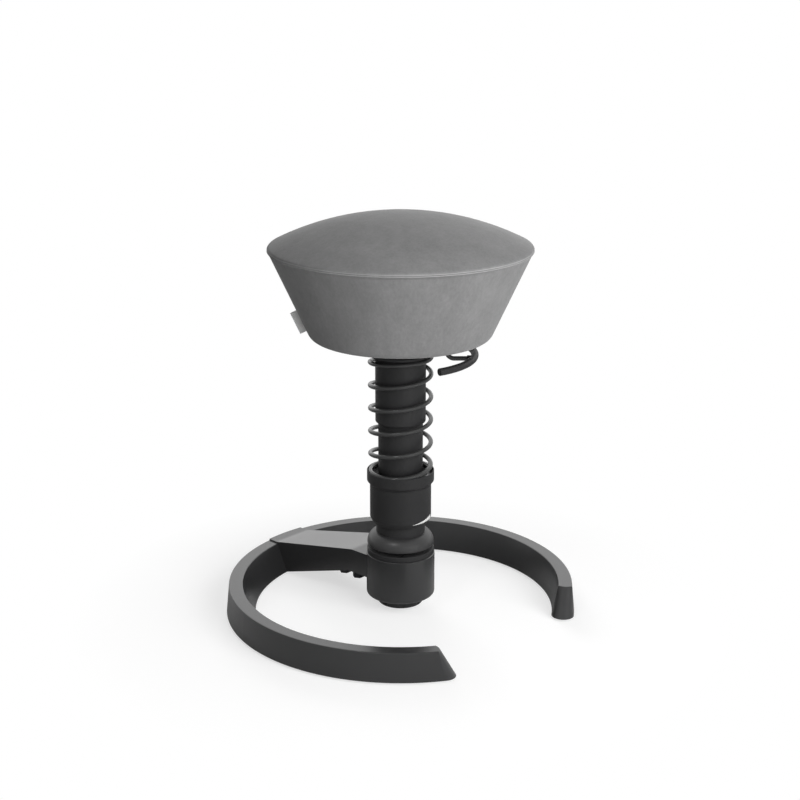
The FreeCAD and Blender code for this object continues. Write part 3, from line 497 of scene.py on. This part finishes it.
def swell(piece, pinned, most):
    """Runs cloth physics. pinned says which points stay, most is the furthest move."""
    rest = [v.co.copy() for v in piece.data.vertices]
    group = piece.vertex_groups.new(name="seams")
    group.add([v.index for v in piece.data.vertices if pinned(v.co)], 1.0, "REPLACE")
    only(piece)
    bpy.ops.object.modifier_add(type="CLOTH")
    cloth = piece.modifiers[-1]
    settings = cloth.settings
    settings.vertex_group_mass = "seams"
    settings.use_pressure = True
    settings.uniform_pressure_force = PRESSURE
    settings.effector_weights.gravity = 0.0
    settings.mass = CLOTH_MASS
    settings.tension_stiffness = settings.compression_stiffness = CLOTH_STIFFNESS
    cloth.collision_settings.use_collision = False
    cloth.point_cache.frame_start = 1
    cloth.point_cache.frame_end = CLOTH_FRAMES
    for number in range(1, CLOTH_FRAMES + 1):
        bpy.context.scene.frame_set(number)
    bpy.ops.object.modifier_apply(modifier=cloth.name)
    bpy.context.scene.frame_set(1)
    largest = 0.0
    for vertex, start in zip(piece.data.vertices, rest):
        move = vertex.co - start
        if move.length > most:
            vertex.co = start + move.normalized() * most
        largest = max(largest, (vertex.co - start).length)
    print(piece.name, "swelled by up to", round(largest * 1000, 1), "mm")


def pile(piece, finish, body):
    """Hands a padded piece its finish and its body."""
    piece.data.materials.clear()
    piece.data.materials.append(finish.material)
    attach(piece, body)


# %% [markdown]
# ## The top cushion
# The top is a low dome. Its cover rolls over the rim and dives into the seam just below it. The
# two edges of the seam stand up as thin ridges with a narrow groove between them, and the section
# draws them at their real size, about a millimetre and a half high.

# %% Top cushion
DOME_EDGE_DROP = 0.047
DOME_EDGE_IN = 0.0027
RIDGE = 0.0014
GROOVE_IN = 0.0012
ROLL_IN = 0.0008
ROLL_UP = 0.0031
CLEAR = 0.0003
POINT_STEP = 0.006
SPIN_STEPS = 192
TOP_MOST = 0.003

dome_edge = Vector((rim_r - DOME_EDGE_IN, seat_top - DOME_EDGE_DROP))
dome_size = (dome_edge.x ** 2 + DOME_EDGE_DROP ** 2) / (2 * DOME_EDGE_DROP)
half_r = dome_edge.x / 2
half_z = seat_top - dome_size + math.sqrt(dome_size ** 2 - half_r ** 2)
seam_r = rim_r
groove_top = seam_z + 0.0002
deck_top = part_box("seat_deck")[1].z + CLEAR
inner_r = radius("seat_deck") + CLEAR

dome = arc_points((0.0, seat_top), (half_r, half_z), dome_edge, 40)
roll_low = Vector((seam_r, seam_z + RIDGE * 1.2))
roll = arc_points(dome_edge, (rim_r - ROLL_IN, seam_z + ROLL_UP), roll_low, 6)
lip_out = Vector((seam_r + RIDGE * 0.4, seam_z + RIDGE * 0.6))
lip = arc_points(roll[-1], lip_out, (seam_r - GROOVE_IN, groove_top), 5)
under = straight(lip[-1], (inner_r, groove_top), POINT_STEP)
back = straight(under[-1], (inner_r, deck_top), POINT_STEP)
deck = straight(back[-1], (0.0, deck_top), POINT_STEP)
cushion = spun("seat_top", dome + roll[1:] + lip[1:] + under + back + deck, SPIN_STEPS)
swell(cushion, lambda p: p.z < deck_top + 0.001, TOP_MOST)
pile(cushion, fabric, "seat")
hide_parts("top_cushion")

# %% [markdown]
# ## The skirt
# The side of the seat is a cone of thinner foam on the shell, rounded at its foot and tucked up
# inside. It meets the top in the same seam, with its own ridge.

# %% Skirt
FOOT_R = 0.1378
FOOT_ROUND = 0.015
TUCK_R = 0.1205
HEM = 0.0012
DOWN_R = 0.1263
FACE_R = 0.1345
FACE_SLOPE = 0.38
SEAM_BAND = 0.006
SKIRT_MOST = 0.002

foot_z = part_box("side_pad")[0].z
tuck_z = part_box("seat_shell")[0].z - CLEAR
groove_foot = seam_z - 0.0004
slope = Vector((seam_r - FOOT_R, seam_z - foot_z)).normalized()
lean = math.atan2(slope.x, slope.y)
reach = FOOT_ROUND / math.tan((math.pi / 2 + lean) / 2)
round_first = Vector((FOOT_R - reach, foot_z))
round_last = Vector((FOOT_R, foot_z)) + slope * reach
round_centre = round_first + Vector((0.0, FOOT_ROUND))
out = (Vector((FOOT_R, foot_z)) - round_centre).normalized()
round_mid = round_centre + out * FOOT_ROUND

top_edge = Vector((seam_r, seam_z - 0.0003))
side = straight(round_last, top_edge - slope * (RIDGE * 1.6), 0.005)
ridge_out = top_edge + Vector((RIDGE * 0.45, -RIDGE * 0.9))
ridge = arc_points(side[-1], ridge_out, (seam_r - GROOVE_IN, groove_foot), 5)
inward = straight(ridge[-1], (inner_r - 0.0016, groove_foot), POINT_STEP)
down = straight(inward[-1], (DOWN_R, tuck_z), POINT_STEP)
tuck = straight(down[-1], (TUCK_R, tuck_z), 0.003)
hem = straight(tuck[-1], (TUCK_R, foot_z + 0.0015), 0.002)
turned_in = Vector((TUCK_R + HEM, foot_z))
bottom = straight(hem[-1], turned_in, 0.002) + straight(turned_in, round_first, 0.004)
foot_round = arc_points(round_first, round_mid, round_last, 9)
section = side + ridge[1:] + inward + down + tuck + hem + bottom + foot_round[1:]
skirt = spun("seat_skirt", section + [section[0]], SPIN_STEPS)


def skirt_stays(point):
    """The seam and all of the skirt that lies behind its outer face."""
    behind_face = (point - AXIS).xy.length < FACE_R + (point.z - foot_z) * FACE_SLOPE
    return point.z > seam_z - SEAM_BAND or behind_face


swell(skirt, skirt_stays, SKIRT_MOST)
pile(skirt, fabric, "seat")
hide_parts("side_pad")

# %% [markdown]
# ## The coil spring
# The wire is one circle that is extruded, turned about the column and lifted, step after step.
# The end turns lie flat and the turns between climb by one pitch each. The spring shortens when
# somebody sits down; the piece is hung on the column and gets a mesh of its own.

# %% Coil spring
spring_low, spring_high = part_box("coil_spring")
WIRE_R = 0.0035
WIRE_SIDES = 14
COIL_R = 0.0472
PITCH = 0.03687
LEFT_Z = 0.40748
LEFT_TURN = 133.0
EASE_LOW = 0.002
EASE_HIGH = 0.008
CLOSED_LOW = 240.0
CLOSED_HIGH = 190.0
STEPS_PER_TURN = 48

low_z = spring_low.z + WIRE_R
high_z = spring_high.z - WIRE_R
first_turn = LEFT_TURN - 360 * (LEFT_Z - low_z + EASE_LOW) / PITCH - CLOSED_LOW
last_turn = LEFT_TURN + 360 * (high_z - LEFT_Z + EASE_HIGH) / PITCH + CLOSED_HIGH


def climb_above(height, ease):
    """Nothing below zero, the height itself above, and a smooth blend in between."""
    if abs(height) >= ease:
        return max(height, 0.0)
    return (height + ease) ** 2 / (4 * ease)


def wire_height(degrees):
    """Height of the wire's middle: a climb that eases into the flat end turns."""
    climb = LEFT_Z + PITCH * (degrees - LEFT_TURN) / 360
    return low_z + climb_above(climb - low_z, EASE_LOW) - climb_above(climb - high_z, EASE_HIGH)


bpy.ops.object.select_all(action="DESELECT")
bpy.ops.mesh.primitive_circle_add(vertices=WIRE_SIDES, radius=WIRE_R, fill_type="NGON",
                                  location=AXIS + Vector((COIL_R, 0, wire_height(first_turn))),
                                  rotation=(math.pi / 2, 0, 0))
spring = bpy.context.object
spring.name = spring.data.name = "spring"
bpy.ops.object.mode_set(mode="EDIT")
bpy.ops.transform.rotate(value=-math.radians(first_turn), orient_axis="Z", center_override=AXIS)
count = round((last_turn - first_turn) * STEPS_PER_TURN / 360)
step = (last_turn - first_turn) / count
for k in range(count):
    lift = wire_height(first_turn + (k + 1) * step) - wire_height(first_turn + k * step)
    bpy.ops.mesh.extrude_region_move(TRANSFORM_OT_translate={"value": (0, 0, lift)})
    bpy.ops.transform.rotate(value=-math.radians(step), orient_axis="Z", center_override=AXIS)
bpy.ops.mesh.select_all(action="SELECT")
bpy.ops.mesh.normals_make_consistent(inside=False)
bpy.ops.object.mode_set(mode="OBJECT")
only(spring)
bpy.ops.object.transform_apply(location=True, rotation=True, scale=True)
bpy.ops.object.shade_smooth_by_angle(angle=math.radians(50))
spring.data.materials.append(wire_black.material)
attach(spring, "column")
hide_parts("coil_spring")
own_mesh(spring)
print("spring", count, "steps", len(spring.data.vertices), "vertices")

# %% [markdown]
# ## The label
# A short white ribbon is folded in half and caught in the skirt's side seam, left blank. It is a
# thin sheet bent round its fold, so it is a strip with rows of faces and a little curl.

# %% Label
tag_low, tag_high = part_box("seat_tag")
TAG_TURN = math.radians(141.0)
TAG_WIDE = 0.036
TAG_OUT = 0.010
TAG_THICK = 0.0005
FOLD_HALF = 0.0006
CURL = 0.0006

tag_mid = (tag_low + tag_high) / 2
bpy.ops.object.select_all(action="DESELECT")
bpy.ops.mesh.primitive_grid_add(x_subdivisions=24, y_subdivisions=12, size=1.0, location=(0, 0, 0))
tag = bpy.context.object
tag.name = tag.data.name = "label"
for v in tag.data.vertices:
    along = (v.co.x + 0.5) * 2
    across = v.co.y * TAG_WIDE
    if along <= 1.0:
        out_by, side_by = along * TAG_OUT, FOLD_HALF
    else:
        out_by, side_by = (2.0 - along) * TAG_OUT, -FOLD_HALF
    near_fold = max(0.0, 1.0 - abs(along - 1.0) * TAG_OUT / (FOLD_HALF * 1.6))
    side_by *= 1.0 - near_fold ** 2
    curl = CURL * math.sin(across / TAG_WIDE * 3.0) * out_by / TAG_OUT
    v.co = Vector((out_by, side_by + curl, across))
only(tag)
bpy.ops.object.modifier_add(type="SOLIDIFY")
tag.modifiers[-1].thickness = TAG_THICK
tag.modifiers[-1].offset = 0.0
bpy.ops.object.modifier_apply(modifier=tag.modifiers[-1].name)
tag.rotation_euler = (0.0, lean, TAG_TURN)
tag_r = FOOT_R + slope.x / slope.y * (tag_mid.z - foot_z)
tag.location = AXIS + Vector((tag_r * math.cos(TAG_TURN), tag_r * math.sin(TAG_TURN), tag_mid.z))
bpy.ops.object.transform_apply(location=True, rotation=True, scale=True)
bpy.ops.object.shade_smooth()

ribbon = Finish("woven_ribbon")
weft = ribbon.noise(1400.0, 1.0, (1.0, 1.0, 0.2))
ribbon.colour(weft.tint((0.74, 0.74, 0.735), (0.84, 0.84, 0.835)))
ribbon.rough(0.75 + weft * 0.1)
ribbon.bump(weft, 0.00006, 0.5)
tag.data.materials.append(ribbon.material)
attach(tag, "seat")
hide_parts("seat_tag")
print("label", len(tag.data.vertices), "vertices")

# %% [markdown]
# ## The studio
# The stool stands on a white floor that shows only its soft shadow. Seen by the camera, the floor
# is matte with a glow near the stool, and it fades to plain white further out. The two large lamps
# light the surfaces and aren't mirrored, because the black parts in the photograph are even. What
# these mirror is the world, bright behind the stool and dim in front, and one small lamp.

# %% Floor
FLOOR_SIZE = 30.0
NEAR_FLOOR = 0.3
FAR_FLOOR = 0.52
FLOOR_GLOW = 0.62
FLOOR_TONE = 0.45

bpy.ops.object.select_all(action="DESELECT")
bpy.ops.mesh.primitive_plane_add(size=FLOOR_SIZE, location=(0, 0, 0))
floor = bpy.context.object
floor.name = "floor"
ground = bpy.data.materials.new("floor_white")
ground.use_nodes = True
tree = ground.node_tree
tree.nodes.remove(tree.nodes["Principled BSDF"])
start = Flow(tree)
rays = start.node("LightPath", out="Is Camera Ray")
spot = start.node("TexCoord", out="Object")
away = start.node("VectorMath", {"operation": "DISTANCE"}, {0: spot, 1: AXIS}, "Value")
far = ((away - NEAR_FLOOR) / (FAR_FLOOR - NEAR_FLOOR)).clamp()
glow = start.node("Emission", None, {"Color": (1, 1, 1, 1), "Strength": FLOOR_GLOW})
white = start.node("Emission", None, {"Color": (1, 1, 1, 1), "Strength": 1.0})
matte = start.node("BsdfDiffuse", None, {"Color": (*[FLOOR_TONE] * 3, 1)})
both = start.node("AddShader", None, {0: matte, 1: glow})
faded = start.node("MixShader", None, {0: far, 1: both, 2: white})
chosen = start.node("MixShader", None, {0: rays, 1: matte, 2: faded})
tree.links.new(chosen.socket, tree.nodes["Material Output"].inputs["Surface"])
floor.data.materials.append(ground)

# %% Lamps
LAMP_AIM = 0.3


def lamp(name, turn, height, away, size, watts, mirrored):
    """A square soft light on a circle round the stool, aimed at the middle of the column."""
    data = bpy.data.lights.new(name, "AREA")
    data.size = size
    data.energy = watts
    light = bpy.data.objects.new(name, data)
    place = AXIS + Vector((away * math.sin(turn), -away * math.cos(turn), height))
    view = AXIS + Vector((0, 0, LAMP_AIM)) - place
    light.location = place
    light.rotation_euler = view.to_track_quat("-Z", "Y").to_euler()
    light.visible_glossy = mirrored
    bpy.context.scene.collection.objects.link(light)
    print(name, watts, "watts")


lamp("key_right", math.radians(-8.0), 1.1, 2.5, 2.2, 100.0, False)
lamp("fill_rear", math.radians(148.0), 1.0, 2.4, 1.5, 36.0, False)
lamp("glint", math.radians(-78.0), 1.9, 1.5, 0.4, 4.5, True)

# %% World
WORLD_FILL = 0.13
MIRROR_LEAST = 0.4

world = bpy.data.worlds.new("studio")
bpy.context.scene.world = world
world.use_nodes = True
sky = world.node_tree
air = Flow(sky)
seen = air.node("LightPath", out="Is Camera Ray")
shine = air.node("LightPath", out="Is Glossy Ray")
clear = air.node("LightPath", out="Is Transmission Ray")
direction = air.node("TexCoord", out="Generated")
behind = direction.node("VectorMath", {"operation": "DOT_PRODUCT"}, {
    0: direction, 1: (-math.sin(CAMERA_TURN), math.cos(CAMERA_TURN), 0.0)}, "Value")
backdrop = (behind * 0.8 + 0.45).clamp().math("MAXIMUM", MIRROR_LEAST)
mirror = shine.math("MAXIMUM", clear) * backdrop
strength = seen.math("MAXIMUM", mirror.math("MAXIMUM", WORLD_FILL))
sky.nodes["Background"].inputs["Color"].default_value = (1, 1, 1, 1)
sky.links.new(strength.socket, sky.nodes["Background"].inputs["Strength"])
bpy.context.scene.view_settings.view_transform = "Standard"
